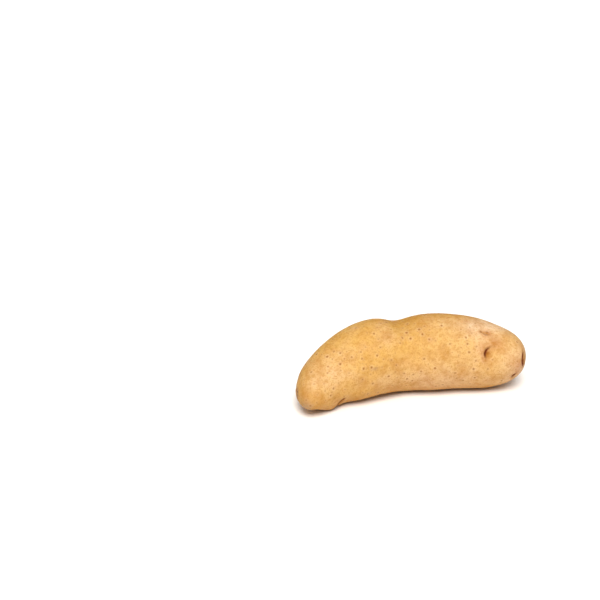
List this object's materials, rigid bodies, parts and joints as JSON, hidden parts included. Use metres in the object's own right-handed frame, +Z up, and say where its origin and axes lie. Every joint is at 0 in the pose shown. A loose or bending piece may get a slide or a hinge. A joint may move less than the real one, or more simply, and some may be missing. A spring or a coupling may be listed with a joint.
{
  "type": "fingerling potato",
  "caption": "Slender, bowed fingerling potato with a smooth pale yellow skin, shallow eyes and small pores, lying on its side.",
  "frame": {"origin": "on the surface that the potato rests on, under the middle of its box", "axes": "+Z up, +X along the tuber from its heel, where the stolon was, to its rose end, and -Y out of its hollow side"},
  "size_m": [0.1078, 0.0432, 0.0346],
  "materials": {
    "skin": "satin"
  },
  "bodies": {
    "root": {"potato": "skin"}
  },
  "joints": []
}
